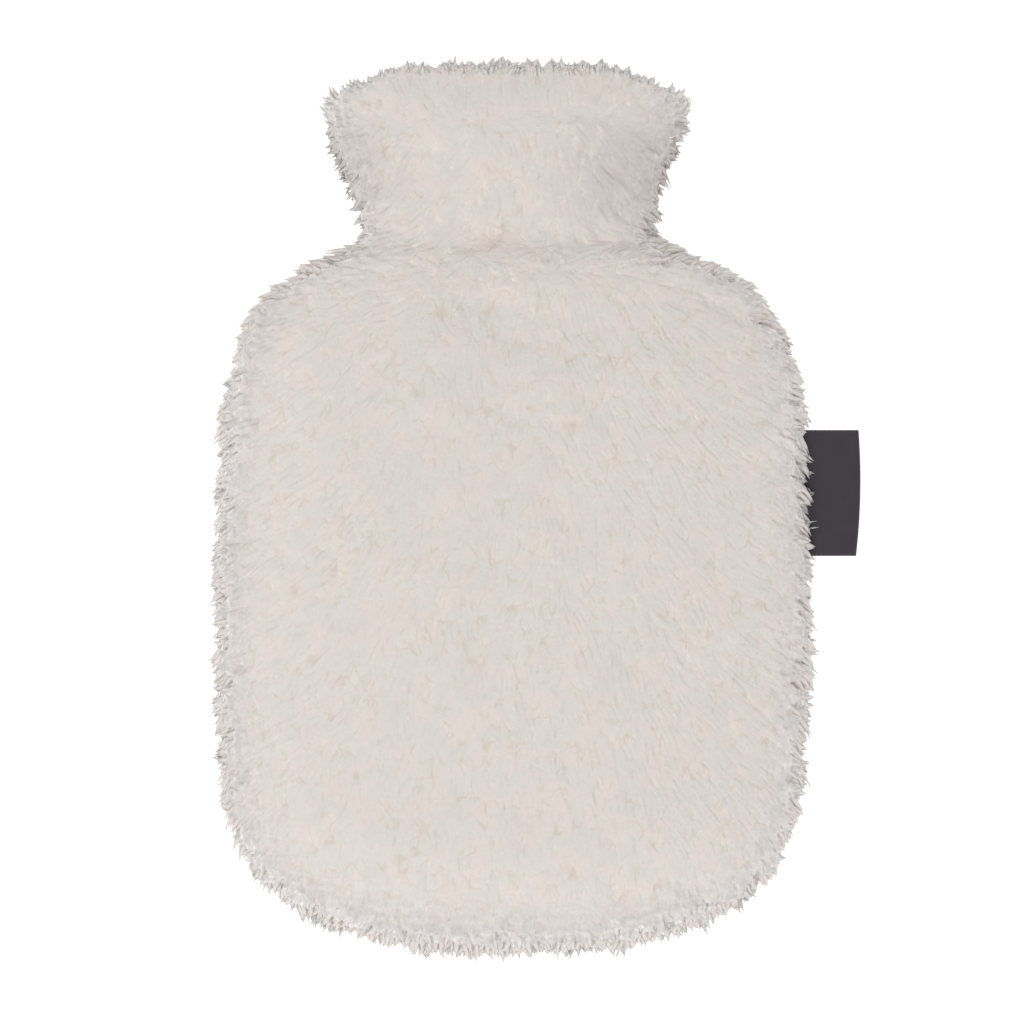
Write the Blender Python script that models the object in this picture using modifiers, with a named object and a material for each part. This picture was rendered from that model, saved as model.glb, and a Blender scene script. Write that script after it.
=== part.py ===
"""A teddy-plush hot water bottle cover, lying on its back in its filled shape.

Metres, +Z up, +Y towards the neck, +X to the side with the label. The origin is the middle of
the flat spot on which the body rests. Two bottle-shaped panels of plush, cloth and pile
together, face each other across a seam that runs round at one height. The neck is open at its
end, and the bag is hollow. Locks of pile stand out round the seam and along the two hems, each
row of them rooted in a narrow strip. A folded woven tape is caught in the right-hand seam.
"""
import math
from collections import namedtuple
from functools import partial

import bmesh
import bpy
from mathutils import Vector, noise

MM = 0.001

# Heights
SEAM_Z = 19.0 * MM          # the seam, over the surface that the cover lies on
PIECE_GAP = 0.3 * MM        # left between two pieces that touch

# A section across the cover at each y: how far the panels reach left and right at the seam, how
# high the front stands and how low the back hangs in the middle, the wall's thickness, and the
# length of the pile's locks at the seam. Millimetres, from the hem down to where the bottom's
# round corners begin.
Section = namedtuple("Section", "y left right top bottom wall pile")
SECTIONS = (
    Section(157.4, 50.6, 44.2, 34.6, 6.0, 4.0, 2.6),
    Section(155.2, 51.0, 44.8, 37.0, 3.8, 5.6, 2.8),
    Section(150.6, 51.6, 45.6, 38.6, 2.6, 7.4, 3.2),
    Section(146.0, 53.2, 47.8, 38.8, 2.6, 8.0, 3.4),
    Section(141.0, 53.4, 48.2, 38.4, 3.0, 8.0, 3.2),
    Section(136.0, 50.6, 46.0, 37.8, 3.4, 8.0, 2.9),
    Section(128.0, 47.8, 42.6, 36.8, 3.8, 8.0, 2.7),
    Section(120.0, 45.3, 41.0, 36.0, 4.0, 8.0, 2.3),
    Section(114.0, 43.9, 38.8, 35.6, 4.0, 8.0, 1.8),
    Section(110.5, 43.9, 39.2, 35.8, 3.6, 8.0, 1.4),
    Section(107.0, 47.0, 43.6, 36.6, 3.0, 8.0, 1.4),
    Section(103.5, 53.0, 51.2, 38.0, 2.2, 8.0, 1.8),
    Section(97.5, 64.2, 63.0, 40.4, 0.8, 8.0, 2.6),
    Section(90.0, 73.2, 72.4, 42.6, 0.0, 8.0, 2.9),
    Section(82.5, 78.0, 77.3, 44.0, 0.0, 8.0, 3.0),
    Section(75.0, 80.9, 79.8, 45.0, 0.0, 8.0, 3.0),
    Section(60.0, 83.7, 83.2, 45.8, 0.0, 8.0, 3.0),
    Section(40.0, 85.2, 85.1, 46.2, 0.0, 8.0, 3.0),
    Section(0.0, 86.8, 86.3, 46.4, 0.0, 8.0, 3.0),
    Section(-25.0, 86.5, 85.4, 46.0, 0.0, 8.0, 3.1),
    Section(-48.0, 85.0, 84.0, 45.4, 0.0, 8.0, 3.3),
)
HEM_Y = SECTIONS[0].y * MM
CORNER_Y = SECTIONS[-1].y * MM     # below this line the outline is one rounded end
END_DEPTH = 53.8 * MM              # from that line to the bottom of the panels
END_POWER = 2.5                    # 2 is an ellipse, and more is squarer

# The hem's corners hang lower than its middle
HEM_DROP = 7.5 * MM
HEM_DROP_FROM = 118.0 * MM
HEM_DROP_POWER = 5

# How a panel rolls over to the seam: 2 is an ellipse, and more is flatter with a tighter edge
FRONT_ROLL = 2.6
BACK_ROLL = 7.0
BACK_SINK = 1.0 * MM        # the back is pressed flat where it would reach this much lower

# Faces across and along each panel, and how far they crowd towards the rolled edges
FRONT_GRID = (30, 36, 8)    # across, along the sides, in the rounded end
BACK_GRID = (20, 36, 8)
EDGE_CROWDING = 0.6
PATH_POINTS = 400           # close enough to step evenly along a curve

# Low lumps of the pile on the front
LUMP_HEIGHT = 1.2 * MM
LUMP_PITCH = 17.0 * MM

# Soft troughs on the front: where each starts and ends, its depth, and its width to either side
Fold = namedtuple("Fold", "name x0 y0 x1 y1 depth width")
FOLDS = (
    Fold("root of the neck", -16.0, 111.0, 12.0, 108.0, 1.9, 6.0),
    Fold("left of the root", -38.0, 113.0, -24.0, 106.0, 1.3, 5.5),
    Fold("right of the root", 26.0, 110.0, 38.0, 112.0, 1.5, 5.5),
    Fold("long arc under it", -24.0, 91.0, 28.0, 80.0, 1.1, 7.0),
    Fold("short crease", -6.0, 79.0, 18.0, 77.0, 0.9, 5.5),
    Fold("right shoulder", 52.0, 94.0, 68.0, 80.0, 1.2, 6.0),
    Fold("left ear", -50.0, 143.0, -38.0, 140.0, 1.0, 5.5),
    Fold("low on the left", -70.0, -22.0, -58.0, -36.0, 0.9, 6.0),
    Fold("breast", -12.0, 63.0, 4.0, 55.0, 0.8, 6.0),
)

# Strips that hold the locks
STRIP_CLEAR = 0.7 * MM      # from the wall, whose faces are flatter than its curves
STRIP_DEPTH = 1.0 * MM
LOCK_WAIST = 0.62           # a lock's width half way out, against its root
SIDE_LOCKS = 124            # along the seam, in each of two bands
SIDE_BAND = 5.2 * MM
SIDE_PARTING = 2.5 * MM     # bare strip between the bands, where the seam lies
SIDE_SAG = 0.5 * MM         # how far the strip's two edges lean in after the rolled wall
FRONT_HEM_LOCKS = 26
BACK_HEM_LOCKS = 24
HEM_SPAN = 0.92             # of the half width, so that the hem's locks stop at the side's
HEM_LOCK_LENGTH = 3.0 * MM

# Woven tape, folded once, its two ends in the seam
LABEL_LOW_Y = 13.0 * MM
LABEL_HIGH_Y = 51.0 * MM
LABEL_FOLD_X = 103.4 * MM   # how far out its fold reaches at mid height
LABEL_BOW = 1.4 * MM        # less than that at its two ends
LABEL_CLOTH = 0.5 * MM
LABEL_SPLAY = 0.5 * MM      # half the distance between its layers' middles
LABEL_DROOP = 0.5 * MM      # how far the fold hangs under the seam
LABEL_LAYER_FACES = 4       # faces from the seam to the fold, round it, and along it
LABEL_FOLD_FACES = 6
LABEL_FACES = 7

PLUSH = ("teddy_plush", (0.70, 0.66, 0.62, 1.0), 0.95)
TAPE = ("woven_tape", (0.060, 0.052, 0.062, 1.0), 0.6)


def at_height(y, column):
    """Read one column of the sections at y, on a smooth curve that never overshoots a row."""
    rows = SECTIONS[::-1]
    ys = [row.y * MM for row in rows]
    values = [getattr(row, column) * MM for row in rows]
    y = min(max(y, ys[0]), ys[-1])
    i = max(k for k in range(len(ys) - 1) if ys[k] <= y)
    slopes = []
    for k in (i, i + 1):
        below = rise_between(ys, values, max(k - 1, 0))
        above = rise_between(ys, values, min(k, len(ys) - 2))
        turns = below * above <= 0
        slopes.append(0.0 if turns else 2 * below * above / (below + above))
    step = ys[i + 1] - ys[i]
    t = (y - ys[i]) / step
    return (values[i] * (1 + 2 * t) * (1 - t) ** 2 + slopes[0] * step * t * (1 - t) ** 2
            + values[i + 1] * t * t * (3 - 2 * t) + slopes[1] * step * t * t * (t - 1))


def rise_between(ys, values, k):
    """The slope from row k to the next."""
    return (values[k + 1] - values[k]) / (ys[k + 1] - ys[k])


def smooth_step(t):
    """Ease from 0 to 1."""
    t = min(max(t, 0.0), 1.0)
    return t * t * (3 - 2 * t)


def hem_drop(y):
    """How much lower a cross line is at its two ends than in its middle."""
    return HEM_DROP * smooth_step((y - HEM_DROP_FROM) / (HEM_Y - HEM_DROP_FROM))


def side_point(y, side):
    """The panels' edge on one side, -1 left or 1 right, for the cross line at y."""
    edge_y = y - hem_drop(y)
    return Vector((side * at_height(edge_y, "left" if side < 0 else "right"), edge_y, 0.0))


def inset_point(y, side, inset):
    """The same edge, moved in at right angles to itself."""
    nudge = 0.5 * MM
    run = side_point(min(y + nudge, HEM_Y), side) - side_point(max(y - nudge, CORNER_Y), side)
    inward = Vector((-side * run.y, side * run.x, 0.0)).normalized()
    return side_point(y, side) + inward * inset


def even_steps(path, count):
    """Even steps along a path of many close points, each as a point's number and a share."""
    travelled = [0.0]
    for start, end in zip(path, path[1:]):
        travelled.append(travelled[-1] + (end - start).length)
    steps, k = [], 0
    for i in range(count + 1):
        goal = travelled[-1] * i / count
        while k < len(path) - 2 and travelled[k + 1] < goal:
            k += 1
        steps.append((k, (goal - travelled[k]) / (travelled[k + 1] - travelled[k])))
    return steps


def side_path(side):
    """Close points up one side of the panels."""
    step = (HEM_Y - CORNER_Y) / PATH_POINTS
    return [side_point(CORNER_Y + step * k, side) for k in range(PATH_POINTS + 1)]


def even_rows(count):
    """Cross lines from the rounded end to the hem, at even steps along the edge."""
    step = (HEM_Y - CORNER_Y) / PATH_POINTS
    return [CORNER_Y + step * (k + share) for k, share in even_steps(side_path(-1), count)]


def end_swell(cos, sin):
    """How far the rounded end reaches past an ellipse in one direction."""
    return (abs(cos) ** END_POWER + abs(sin) ** END_POWER) ** (-1 / END_POWER)


def crowd(t):
    """Crowd even steps from -1 to 1 towards both ends."""
    return (1 - EDGE_CROWDING) * t + EDGE_CROWDING * math.sin(t * math.pi / 2)


def end_place(a, b, inset):
    """A point of the rounded end and its share of the way to the edge; b is 0 to -1."""
    across, along = a * math.sqrt(1 - b * b / 2), b * math.sqrt(1 - a * a / 2)
    share = math.hypot(across, along)
    if share < 1e-9:
        return 0.0, CORNER_Y, 0.0
    swell = end_swell(across / share, along / share)
    half = at_height(CORNER_Y, "left" if a < 0 else "right") - inset
    return across * swell * half, CORNER_Y + along * swell * (END_DEPTH - inset), share


def row_place(a, y, inner):
    """A point of the cross line at y and its share of the way to the edge."""
    side = -1 if a < 0 else 1
    edge = inset_point(y, side, at_height(y, "wall") if inner else 0.0)
    return abs(a) * edge.x, y + (edge.y - y) * abs(a) ** HEM_DROP_POWER, abs(a)


def fold_depth(x, y):
    """How far the folds sink the front at a point."""
    depth = 0.0
    for fold in FOLDS:
        start, end = Vector((fold.x0, fold.y0)) * MM, Vector((fold.x1, fold.y1)) * MM
        run = end - start
        t = min(max((Vector((x, y)) - start).dot(run) / run.length_squared, 0.0), 1.0)
        away = (Vector((x, y)) - start - run * t).length / (fold.width * MM)
        depth += fold.depth * MM * math.exp(-away * away)
    return depth


def front_height(x, y, share, inner):
    """The front panel's height, outside or inside."""
    wall = at_height(y, "wall") if inner else 0.0
    rise = (1 - share ** FRONT_ROLL) ** 0.5
    height = SEAM_Z + PIECE_GAP / 2 + (at_height(y, "top") - SEAM_Z - wall) * rise
    if inner:
        return height
    lump = noise.noise(Vector((x, y, 0.0)) / LUMP_PITCH)
    fine = noise.noise(Vector((y, x, LUMP_PITCH)) / (0.55 * LUMP_PITCH))
    return height + (LUMP_HEIGHT * (lump + 0.5 * fine) - fold_depth(x, y)) * (1 - share ** 8)


def back_height(x, y, share, inner):
    """The back panel's height; it is pressed flat on the surface and against the wall there."""
    wall = at_height(y, "wall") if inner else 0.0
    low = at_height(y, "bottom")
    drop = (SEAM_Z + BACK_SINK - low - wall) * (1 - share ** BACK_ROLL) ** 0.5
    height = SEAM_Z - PIECE_GAP / 2 - drop
    return max(height, low + wall)


def panel_face(name, grid, height, inner):
    """One face of a panel, outside or inside, as a grid laid out over the outline."""
    across, side_rows, end_rows = grid
    bpy.ops.mesh.primitive_grid_add(x_subdivisions=across, y_subdivisions=side_rows + end_rows,
                                    size=2.0)
    face = bpy.context.object
    face.name = name
    rows = even_rows(side_rows)
    for vertex in face.data.vertices:
        a = crowd(vertex.co.x)
        row = round((vertex.co.y + 1) / 2 * (side_rows + end_rows)) - end_rows
        if row < 0:
            b = crowd(row / end_rows)
            x, y, share = end_place(a, b, at_height(CORNER_Y, "wall") if inner else 0.0)
        else:
            x, y, share = row_place(a, rows[row], inner)
        share = min(share, 1.0)
        vertex.co = (x, y, height(x, y, share, inner))
    return face


def finish(obj, collection, look):
    """Give an object its material and put it with the cover's parts."""
    name, colour, roughness = look
    material = bpy.data.materials.get(name) or bpy.data.materials.new(name)
    material.use_nodes = True
    shader = material.node_tree.nodes["Principled BSDF"]
    shader.inputs["Base Color"].default_value = colour
    shader.inputs["Roughness"].default_value = roughness
    shader.inputs["Metallic"].default_value = 0.0
    obj.data.materials.clear()
    obj.data.materials.append(material)
    for owner in list(obj.users_collection):
        owner.objects.unlink(obj)
    collection.objects.link(obj)


def add_panel(name, grid, height, collection):
    """A panel of plush: its outer and inner faces, joined round their edges."""
    outside = panel_face(name, grid, height, inner=False)
    inside = panel_face(name + "_inside", grid, height, inner=True)
    bm = bmesh.new()
    bm.from_mesh(outside.data)
    bm.from_mesh(inside.data)
    rims = [edge for edge in bm.edges if edge.is_boundary]
    bmesh.ops.bridge_loops(bm, edges=rims)
    bmesh.ops.recalc_face_normals(bm, faces=bm.faces)
    bmesh.ops.triangulate(bm, faces=bm.faces, quad_method="SHORT_EDGE")
    bm.to_mesh(outside.data)
    bm.free()
    bpy.data.objects.remove(inside)
    outside.data.shade_smooth()
    outside.data.set_sharp_from_angle(angle=math.radians(50))
    finish(outside, collection, PLUSH)


def outline_path(count):
    """The panels' outline from the left of the hem, round the end, to the right of the hem."""
    path = side_path(-1)[::-1]
    for k in range(1, PATH_POINTS):
        turn = math.pi * (1 + k / PATH_POINTS)
        cos, sin = math.cos(turn), math.sin(turn)
        swell = end_swell(cos, sin)
        half = at_height(CORNER_Y, "left" if cos < 0 else "right")
        path.append(Vector((cos * swell * half, CORNER_Y + sin * swell * END_DEPTH, 0.0)))
    path += side_path(1)
    return [path[k].lerp(path[k + 1], share) for k, share in even_steps(path, count)]


def side_place(points, column, row):
    """A corner of the side strip's outer face."""
    run = points[min(column + 1, len(points) - 1)] - points[max(column - 1, 0)]
    outward = Vector((run.y, -run.x, 0.0)).normalized()
    rise = (-SIDE_BAND - SIDE_PARTING / 2, -SIDE_PARTING / 2,
            SIDE_PARTING / 2, SIDE_BAND + SIDE_PARTING / 2)[row]
    sag = SIDE_SAG * (abs(rise) > SIDE_PARTING)
    place = points[column] + outward * (STRIP_CLEAR + STRIP_DEPTH - sag)
    return Vector((place.x, place.y, SEAM_Z + rise))


def hem_place(height, away, columns, column, row):
    """A corner of a hem strip's outer face, which lies just past the wall's edge.

    away is 1 on the front, whose outside faces up, and -1 on the back.
    """
    a = HEM_SPAN * (2 * column / columns - 1)
    inner = row == 1 if away > 0 else row == 0
    x, y, share = row_place(a, HEM_Y, inner)
    return Vector((x, y + STRIP_CLEAR + STRIP_DEPTH, height(x, y, share, inner)))


def add_pile(name, columns, bands, place, growth, collection):
    """A narrow strip with one lock of pile on each face of its bands, as one solid.

    bands says for each row of faces whether it bears locks, and growth gives the way from the
    middle of a lock's root to its tip.
    """
    bm = bmesh.new()
    bmesh.ops.create_grid(bm, x_segments=columns, y_segments=len(bands), size=1.0)
    for vertex in bm.verts:
        column = round((vertex.co.x + 1) / 2 * columns)
        row = round((vertex.co.y + 1) / 2 * len(bands))
        vertex.index = column * (len(bands) + 1) + row
    roots = []
    for face in bm.faces:
        row = round((face.calc_center_median().y + 1) / 2 * len(bands) - 0.5)
        if bands[row]:
            roots.append(face)
    for vertex in bm.verts:
        vertex.co = place(*divmod(vertex.index, len(bands) + 1))
    bm.normal_update()
    backing = bmesh.ops.extrude_face_region(bm, geom=bm.faces[:])
    for moved in backing["geom"]:
        if isinstance(moved, bmesh.types.BMVert):
            moved.co -= moved.normal * STRIP_DEPTH
    bmesh.ops.recalc_face_normals(bm, faces=bm.faces)
    locks = bmesh.ops.extrude_discrete_faces(bm, faces=roots)["faces"]
    for lock in locks:
        root = lock.calc_center_median()
        grow = growth(root, lock.normal.copy())
        for vertex in lock.verts:
            vertex.co = root + (vertex.co - root) * LOCK_WAIST + grow * 0.5
        tip = bmesh.ops.poke(bm, faces=[lock])["verts"][0]
        tip.co = root + grow
    bmesh.ops.recalc_face_normals(bm, faces=bm.faces)
    bmesh.ops.triangulate(bm, faces=bm.faces, quad_method="SHORT_EDGE")
    mesh = bpy.data.meshes.new(name)
    bm.to_mesh(mesh)
    bm.free()
    pile = bpy.data.objects.new(name, mesh)
    collection.objects.link(pile)
    finish(pile, collection, PLUSH)


def uneven(place, layer):
    """A repeatable number from -1 to 1 for a place."""
    return noise.cell(place / (1.7 * MM) + Vector((0.5, 0.5, 31.0 * layer))) * 2 - 1


def side_growth(root, normal):
    """A side lock grows straight out, a little towards the bottom, and away from the seam."""
    reach = at_height(root.y, "pile") * (1 + 0.28 * uneven(root, 1))
    away = 1.0 if root.z > SEAM_Z else -1.0
    calm = smooth_step((at_height(root.y, "pile") - 1.5 * MM) / (1.0 * MM))
    lean = Vector((0.25 * uneven(root, 2), -0.22 + 0.25 * uneven(root, 3), 0.32 * away))
    return (normal + lean * calm).normalized() * reach


def hem_growth(away, root, normal):
    """A hem lock grows on along the neck, and leans a little to the outside of the wall."""
    reach = HEM_LOCK_LENGTH * (1 + 0.3 * uneven(root, 4))
    lean = Vector((0.17 * uneven(root, 5), 0.0, 0.3 * away))
    return (normal + lean).normalized() * reach


def label_place(step, v):
    """The tape's middle surface: steps from one end round the fold to the other, v along it."""
    y = LABEL_LOW_Y + (LABEL_HIGH_Y - LABEL_LOW_Y) * v
    root = at_height(y, "right") + STRIP_CLEAR + STRIP_DEPTH + PIECE_GAP + LABEL_CLOTH / 2
    bend = LABEL_FOLD_X - LABEL_BOW * (2 * v - 1) ** 2 - LABEL_CLOTH / 2 - LABEL_SPLAY
    folded = step - LABEL_LAYER_FACES
    if folded < 0:
        x, z = root + (bend - root) * step / LABEL_LAYER_FACES, LABEL_SPLAY
    elif folded > LABEL_FOLD_FACES:
        back = (folded - LABEL_FOLD_FACES) / LABEL_LAYER_FACES
        x, z = bend + (root - bend) * back, -LABEL_SPLAY
    else:
        turn = math.pi * folded / LABEL_FOLD_FACES
        x, z = bend + LABEL_SPLAY * math.sin(turn), LABEL_SPLAY * math.cos(turn)
    droop = LABEL_DROOP * ((x - root) / (bend - root)) ** 2
    return Vector((x, y, SEAM_Z + z - droop))


def add_label(collection):
    """The folded tape, a thin sheet with its cloth's thickness."""
    steps = 2 * LABEL_LAYER_FACES + LABEL_FOLD_FACES
    bpy.ops.mesh.primitive_grid_add(x_subdivisions=steps, y_subdivisions=LABEL_FACES, size=2.0)
    label = bpy.context.object
    label.name = "side_label"
    for vertex in label.data.vertices:
        step = round((vertex.co.x + 1) / 2 * steps)
        vertex.co = label_place(step, (vertex.co.y + 1) / 2)
    cloth = label.modifiers.new("cloth", "SOLIDIFY")
    cloth.thickness = LABEL_CLOTH
    cloth.offset = 0.0
    finish(label, collection, TAPE)


def main():
    for obj in list(bpy.data.objects):
        bpy.data.objects.remove(obj)
    cover = bpy.data.collections.new("hot_water_bottle_cover")
    bpy.context.scene.collection.children.link(cover)

    add_panel("front_panel", FRONT_GRID, front_height, cover)
    add_panel("back_panel", BACK_GRID, back_height, cover)
    add_pile("side_pile", SIDE_LOCKS, (True, False, True),
             partial(side_place, outline_path(SIDE_LOCKS)), side_growth, cover)
    add_pile("mouth_pile_front", FRONT_HEM_LOCKS, (True,),
             partial(hem_place, front_height, 1.0, FRONT_HEM_LOCKS), partial(hem_growth, 1.0), cover)
    add_pile("mouth_pile_back", BACK_HEM_LOCKS, (True,),
             partial(hem_place, back_height, -1.0, BACK_HEM_LOCKS), partial(hem_growth, -1.0), cover)
    add_label(cover)


main()
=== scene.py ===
"""Dress a teddy-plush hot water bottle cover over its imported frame.

The cover lies on its back, with +Z up out of its front, +Y towards its open neck and +X
towards its side label. Each panel of cloth lies a little under the outer face of its solid,
and the pile grows on it: tapered tufts that lean with the comb of the nap and gather into
locks. Sizes are in millimetres, and MM turns them into metres.
"""

import logging
import math
from dataclasses import dataclass
from enum import Enum
from typing import Any, Optional, Union

import bmesh
import bpy
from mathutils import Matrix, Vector

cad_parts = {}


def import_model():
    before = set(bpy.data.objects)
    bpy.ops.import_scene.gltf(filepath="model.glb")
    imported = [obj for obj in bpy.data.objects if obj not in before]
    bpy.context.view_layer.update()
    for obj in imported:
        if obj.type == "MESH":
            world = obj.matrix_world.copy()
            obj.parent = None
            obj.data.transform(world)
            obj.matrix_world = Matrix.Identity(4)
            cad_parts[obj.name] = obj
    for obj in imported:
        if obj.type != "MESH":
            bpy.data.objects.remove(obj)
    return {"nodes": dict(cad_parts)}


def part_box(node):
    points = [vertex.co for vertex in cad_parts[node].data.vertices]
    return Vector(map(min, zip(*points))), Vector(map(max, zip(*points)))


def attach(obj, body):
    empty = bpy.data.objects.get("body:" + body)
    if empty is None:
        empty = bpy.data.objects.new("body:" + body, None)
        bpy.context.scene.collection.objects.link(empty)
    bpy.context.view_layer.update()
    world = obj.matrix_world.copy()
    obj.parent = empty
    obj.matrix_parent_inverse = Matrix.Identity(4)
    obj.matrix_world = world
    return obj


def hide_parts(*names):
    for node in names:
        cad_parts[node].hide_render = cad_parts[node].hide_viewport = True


MM = 0.001
LOG = logging.getLogger("cover")

Pair = tuple[float, float]
Triple = tuple[float, float, float]
Steps = tuple[float, ...]


# ---------------------------------------------------------------- node trees, written as sums


class Field:
    """A node's output, on which Python's operators add Math and Vector Math nodes."""

    def __init__(self, graph: "Graph", socket: bpy.types.NodeSocket) -> None:
        """Keep the graph and the output that this value stands for."""
        self.graph = graph
        self.socket = socket

    @property
    def is_vector(self) -> bool:
        """Whether the value has three numbers."""
        return self.socket.type in {"VECTOR", "RGBA"}

    @property
    def x(self) -> "Field":
        """The first number of a vector."""
        return self.graph.out("ShaderNodeSeparateXYZ", "X", sockets={0: self})

    @property
    def y(self) -> "Field":
        """The second number of a vector."""
        return self.graph.out("ShaderNodeSeparateXYZ", "Y", sockets={0: self})

    @property
    def z(self) -> "Field":
        """The third number of a vector."""
        return self.graph.out("ShaderNodeSeparateXYZ", "Z", sockets={0: self})

    def __add__(self, other: "Value") -> "Field":
        """Give self + other."""
        return self.graph.maths("ADD", self, other)

    __radd__ = __add__

    def __sub__(self, other: "Value") -> "Field":
        """Give self - other."""
        return self.graph.maths("SUBTRACT", self, other)

    def __rsub__(self, other: "Value") -> "Field":
        """Give other - self."""
        return self.graph.maths("SUBTRACT", other, self)

    def __mul__(self, other: "Value") -> "Field":
        """Give self * other."""
        return self.graph.maths("MULTIPLY", self, other)

    __rmul__ = __mul__

    def __truediv__(self, other: "Value") -> "Field":
        """Give self / other."""
        return self.graph.maths("DIVIDE", self, other)

    def __gt__(self, other: "Value") -> "Field":
        """Give 1 where self is the greater number, and 0 elsewhere."""
        return self.graph.maths("GREATER_THAN", self, other)

    def __lt__(self, other: "Value") -> "Field":
        """Give 1 where self is the smaller number, and 0 elsewhere."""
        return self.graph.maths("LESS_THAN", self, other)

    def __abs__(self) -> "Field":
        """Give the size of a number without its sign."""
        return self.graph.maths("ABSOLUTE", self)

    def dot(self, other: "Value") -> "Field":
        """Give the dot product of two vectors."""
        return self.graph.maths("DOT_PRODUCT", self, other)

    def cross(self, other: "Value") -> "Field":
        """Give the cross product of two vectors."""
        return self.graph.maths("CROSS_PRODUCT", self, other)

    def length(self) -> "Field":
        """Give the length of a vector."""
        return self.graph.maths("LENGTH", self)

    def unit(self) -> "Field":
        """Give the vector at length one."""
        return self.graph.maths("NORMALIZE", self)

    def at_least(self, low: "Value") -> "Field":
        """Give the greater of the two numbers."""
        return self.graph.maths("MAXIMUM", self, low)


Value = Union[Field, float, Triple]
VECTOR_TO_NUMBER = {"DOT_PRODUCT", "LENGTH"}


class Graph:
    """A tree of shader or geometry nodes that is written from code."""

    def __init__(self, tree: bpy.types.NodeTree) -> None:
        """Start an empty tree."""
        self.tree = tree
        self.tree.nodes.clear()

    def feed(self, socket: bpy.types.NodeSocket, value: Any) -> None:
        """Link a value to a socket, or set the socket to it.

        Args:
            socket: an input of a node.
            value: a Field, an output socket, or a plain value.
        """
        if isinstance(value, Field):
            value = value.socket
        if isinstance(value, bpy.types.NodeSocket):
            self.tree.links.new(value, socket)
        elif socket.type == "RGBA" and len(value) == 3:
            socket.default_value = (*value, 1.0)
        else:
            socket.default_value = value

    def node(
        self, kind: str, settings: Optional[dict] = None, sockets: Optional[dict] = None
    ) -> bpy.types.Node:
        """Add any node.

        Args:
            kind: the node's type.
            settings: its properties, set before its sockets.
            sockets: values or links, by the name or number of the input.

        Returns:
            The new node.
        """
        node = self.tree.nodes.new(kind)
        for name, value in (settings or {}).items():
            setattr(node, name, value)
        for key, value in (sockets or {}).items():
            self.feed(node.inputs[key], value)
        return node

    def out(
        self,
        kind: str,
        output: Union[str, int],
        settings: Optional[dict] = None,
        sockets: Optional[dict] = None,
    ) -> Field:
        """Add any node and give one of its outputs.

        Args:
            kind: the node's type.
            output: the name or number of the output.
            settings: its properties.
            sockets: values or links of its inputs.

        Returns:
            The output, as a Field.
        """
        return Field(self, self.node(kind, settings, sockets).outputs[output])

    def maths(self, operation: str, *values: Value) -> Field:
        """Add a Math node, or a Vector Math node where one of the values is a vector.

        Args:
            operation: the node's operation.
            values: its inputs, in order.

        Returns:
            The result.
        """
        settings = {"operation": operation}
        vectors = [isinstance(v, tuple) or (isinstance(v, Field) and v.is_vector) for v in values]
        if not any(vectors):
            return self.out("ShaderNodeMath", "Value", settings, dict(enumerate(values)))
        spread = [(v, v, v) if isinstance(v, (int, float)) else v for v in values]
        output = "Value" if operation in VECTOR_TO_NUMBER else "Vector"
        return self.out("ShaderNodeVectorMath", output, settings, dict(enumerate(spread)))

    def sine(self, angle: Value) -> Field:
        """Give the sine of an angle in radians."""
        return self.maths("SINE", angle)

    def smooth(self, value: Value, low: float, high: float) -> Field:
        """Give 0 below low, 1 above high and a smooth step between them."""
        sockets = {0: value, 1: low, 2: high}
        return self.out("ShaderNodeMapRange", "Result", {"interpolation_type": "SMOOTHSTEP"}, sockets)

    def noise(self, place: Value, size: float, detail: float = 1.0, output: str = "Fac") -> Field:
        """Give soft noise, from 0 to 1, with lumps of about the given size in metres."""
        sockets = {"Vector": place, "Scale": 1.0 / size, "Detail": detail}
        return self.out("ShaderNodeTexNoise", output, sockets=sockets)

    def blend(self, share: Value, first: Value, second: Value) -> Field:
        """Give the first colour where share is 0, the second where it is 1, and a mix between."""
        settings = {"data_type": "RGBA", "clamp_factor": True}
        return self.out("ShaderNodeMix", 2, settings, {0: share, 6: first, 7: second})

    def vector(self, x: Value, y: Value, z: Value) -> Field:
        """Give the vector of three numbers."""
        return self.out("ShaderNodeCombineXYZ", "Vector", sockets={0: x, 1: y, 2: z})

    def attribute(self, name: str, output: str) -> Field:
        """Give a named attribute of the mesh, in a shader."""
        return self.out("ShaderNodeAttribute", output, {"attribute_name": name})

    def position(self) -> Field:
        """Give the place of each point, in a geometry tree."""
        return self.out("GeometryNodeInputPosition", "Position")

    def store(self, geometry: Field, name: str, value: Field) -> Field:
        """Keep a value as a named attribute of the points, in a geometry tree.

        Args:
            geometry: the points or the mesh.
            name: the attribute's name.
            value: a number or a vector.

        Returns:
            The geometry with the attribute.
        """
        settings = {"data_type": "FLOAT_VECTOR" if value.is_vector else "FLOAT", "domain": "POINT"}
        sockets = {"Geometry": geometry, "Name": name, "Value": value}
        return self.out("GeometryNodeStoreNamedAttribute", "Geometry", settings, sockets)

    def read(self, name: str, kind: str = "FLOAT_VECTOR") -> Field:
        """Give a named attribute, in a geometry tree."""
        return self.out("GeometryNodeInputNamedAttribute", "Attribute", {"data_type": kind}, {"Name": name})


# ---------------------------------------------------------------- finishes


def new_material(name: str) -> tuple[bpy.types.Material, Graph]:
    """Make an empty node material.

    Args:
        name: the material's name.

    Returns:
        The material and the graph of its nodes.
    """
    material = bpy.data.materials.new(name)
    material.use_nodes = True
    return material, Graph(material.node_tree)


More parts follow.
